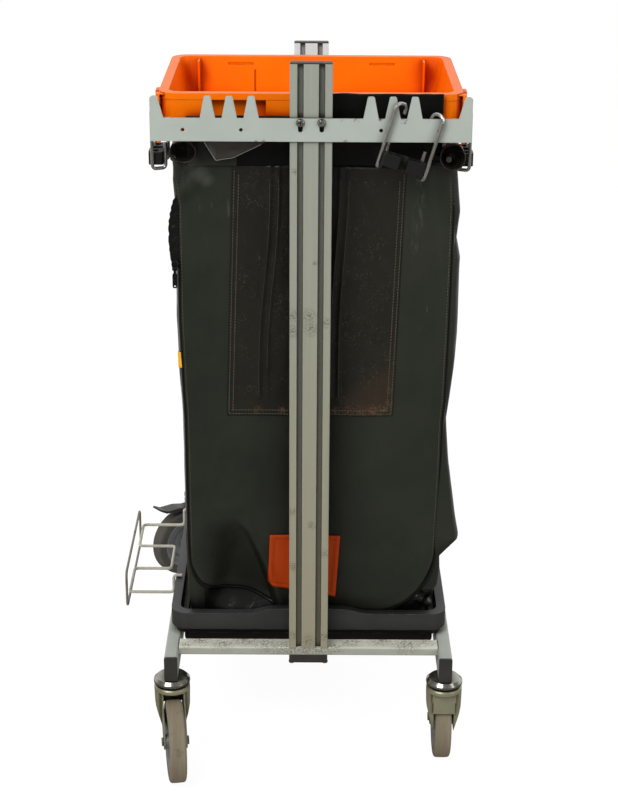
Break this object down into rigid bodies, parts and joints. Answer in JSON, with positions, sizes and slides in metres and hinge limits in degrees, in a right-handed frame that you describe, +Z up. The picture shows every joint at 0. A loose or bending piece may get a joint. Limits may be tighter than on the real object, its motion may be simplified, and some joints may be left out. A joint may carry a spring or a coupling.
{
  "type": "janitor cart",
  "caption": "Two-post janitor cart with a hanging zipped waste bag, lift-out top tray, base tray, hook plate with tool clips, wire side shelf and swivel casters.",
  "frame": {"origin": "on the floor under the middle of the cart's bounding box", "axes": "+Z up, the front with the hook plate faces -Y, +X to the right seen from the front"},
  "size_m": [0.5246, 0.8168, 1.079],
  "materials": {
    "painted_frame": "satin powder coat",
    "post_aluminium": "satin",
    "plate_paint": "satin powder coat",
    "dark_plastic": "fine grain",
    "orange_plastic": "gloss",
    "bag_fabric": "coated cloth, slight sheen",
    "zip_tape": "woven tape with teeth",
    "orange_fabric": "sewn patch",
    "black_rubber": "matt",
    "grey_tyre": "matt",
    "grey_hub": "satin",
    "zinc_steel": "zinc plated"
  },
  "bodies": {
    "cart": {"side_tube_left": "painted_frame", "side_tube_right": "painted_frame", "front_cross_tube": "painted_frame", "rear_cross_tube": "painted_frame", "tube_end_plugs": "dark_plastic", "front_post": "post_aluminium", "rear_post": "post_aluminium", "front_post_cap": "dark_plastic", "rear_post_cap": "dark_plastic", "front_post_foot": "dark_plastic", "rear_post_foot": "dark_plastic", "post_bolts": "zinc_steel", "hook_plate": "plate_paint", "hook_plate_screws": "zinc_steel", "slot_nuts": "zinc_steel", "tray_arm_left": "plate_paint", "tray_arm_right": "plate_paint", "hoop_hangers": "plate_paint", "bag_hoop": "plate_paint", "base_tray": "dark_plastic", "waste_bag": "bag_fabric", "bag_door": "bag_fabric", "door_zip": "zip_tape", "document_pocket": "bag_fabric", "bag_patch": "orange_fabric", "wire_shelf_floor": "painted_frame", "wire_shelf_guard": "painted_frame", "caster_heads": "zinc_steel", "caster_nuts": "zinc_steel", "swivel_bearings": "dark_plastic"},
    "swivel_front_left": {"fork_front_left": "zinc_steel", "axle_front_left": "zinc_steel"},
    "wheel_front_left": {"hub_front_left": "grey_hub", "tyre_front_left": "grey_tyre"},
    "swivel_front_right": {"fork_front_right": "zinc_steel", "axle_front_right": "zinc_steel"},
    "wheel_front_right": {"hub_front_right": "grey_hub", "tyre_front_right": "grey_tyre"},
    "swivel_rear_left": {"fork_rear_left": "zinc_steel", "axle_rear_left": "zinc_steel", "brake_pin_left": "zinc_steel"},
    "wheel_rear_left": {"hub_rear_left": "grey_hub", "tyre_rear_left": "grey_tyre"},
    "pedal_left": {"brake_pedal_left": "dark_plastic"},
    "swivel_rear_right": {"fork_rear_right": "zinc_steel", "axle_rear_right": "zinc_steel", "brake_pin_right": "zinc_steel"},
    "wheel_rear_right": {"hub_rear_right": "grey_hub", "tyre_rear_right": "grey_tyre"},
    "pedal_right": {"brake_pedal_right": "dark_plastic"},
    "top_tray": {"top_tray": "orange_plastic"},
    "clip_front": {"clip_wires_front": "zinc_steel", "clip_grip_front": "black_rubber"},
    "clip_left": {"clip_wires_left": "zinc_steel", "clip_grip_left": "black_rubber"},
    "clip_right": {"clip_wires_right": "zinc_steel", "clip_grip_right": "black_rubber"},
    "zip_slider": {"zip_slider": "zinc_steel"},
    "zip_puller": {"zip_puller": "zinc_steel"}
  },
  "joints": [
    {"name": "swivel_front_left", "type": "hinge", "parent": "cart", "child": "swivel_front_left", "pos_m": [-0.1772, -0.308, 0.137], "axis": [0, 0, 1], "continuous": true},
    {"name": "wheel_front_left", "type": "hinge", "parent": "swivel_front_left", "child": "wheel_front_left", "pos_m": [-0.17125, -0.34553, 0.0625], "axis": [-0.9877, -0.1564, 0], "continuous": true},
    {"name": "swivel_front_right", "type": "hinge", "parent": "cart", "child": "swivel_front_right", "pos_m": [0.2348, -0.308, 0.137], "axis": [0, 0, 1], "continuous": true},
    {"name": "wheel_front_right", "type": "hinge", "parent": "swivel_front_right", "child": "wheel_front_right", "pos_m": [0.2348, -0.27, 0.0625], "axis": [1, 0, 0], "continuous": true},
    {"name": "swivel_rear_left", "type": "hinge", "parent": "cart", "child": "swivel_rear_left", "pos_m": [-0.1772, 0.381, 0.137], "axis": [0, 0, 1], "continuous": true},
    {"name": "wheel_rear_left", "type": "hinge", "parent": "swivel_rear_left", "child": "wheel_rear_left", "pos_m": [-0.20631, 0.35657, 0.0625], "axis": [-0.6428, 0.766, 0], "continuous": true},
    {"name": "brake_pedal_left", "type": "hinge", "parent": "swivel_rear_left", "child": "pedal_left", "pos_m": [-0.18486, 0.37457, 0.126], "axis": [0.6428, -0.766, 0], "range_deg": [0, 6]},
    {"name": "swivel_rear_right", "type": "hinge", "parent": "cart", "child": "swivel_rear_right", "pos_m": [0.2348, 0.381, 0.137], "axis": [0, 0, 1], "continuous": true},
    {"name": "wheel_rear_right", "type": "hinge", "parent": "swivel_rear_right", "child": "wheel_rear_right", "pos_m": [0.21874, 0.34656, 0.0625], "axis": [-0.9063, 0.4226, 0], "continuous": true},
    {"name": "brake_pedal_right", "type": "hinge", "parent": "swivel_rear_right", "child": "pedal_right", "pos_m": [0.23057, 0.37194, 0.126], "axis": [0.9063, -0.4226, 0], "range_deg": [0, 6]},
    {"name": "top_tray_lift", "type": "slide", "parent": "cart", "child": "top_tray", "axis": [0, 0, 1], "range_m": [0, 0.2]},
    {"name": "clip_swing_front", "type": "hinge", "parent": "cart", "child": "clip_front", "pos_m": [0.1748, -0.29525, 1.01073], "axis": [-0.9563, 0, 0.2924], "range_deg": [0, 10]},
    {"name": "clip_swing_left", "type": "hinge", "parent": "cart", "child": "clip_left", "pos_m": [-0.1862, -0.204, 1.004], "axis": [0, 1, 0], "range_deg": [0, 10]},
    {"name": "clip_swing_right", "type": "hinge", "parent": "cart", "child": "clip_right", "pos_m": [0.2438, -0.204, 1.004], "axis": [0, -1, 0], "range_deg": [0, 10]},
    {"name": "zip_slider_run", "type": "slide", "parent": "cart", "child": "zip_slider", "axis": [-0.0177, -0.0171, 0.9997], "range_m": [-0.46, 0.1]},
    {"name": "zip_puller_hinge", "type": "hinge", "parent": "zip_slider", "child": "zip_puller", "pos_m": [-0.16336, -0.25482, 0.77888], "axis": [-1, 0, 0], "range_deg": [0, 100]}
  ]
}
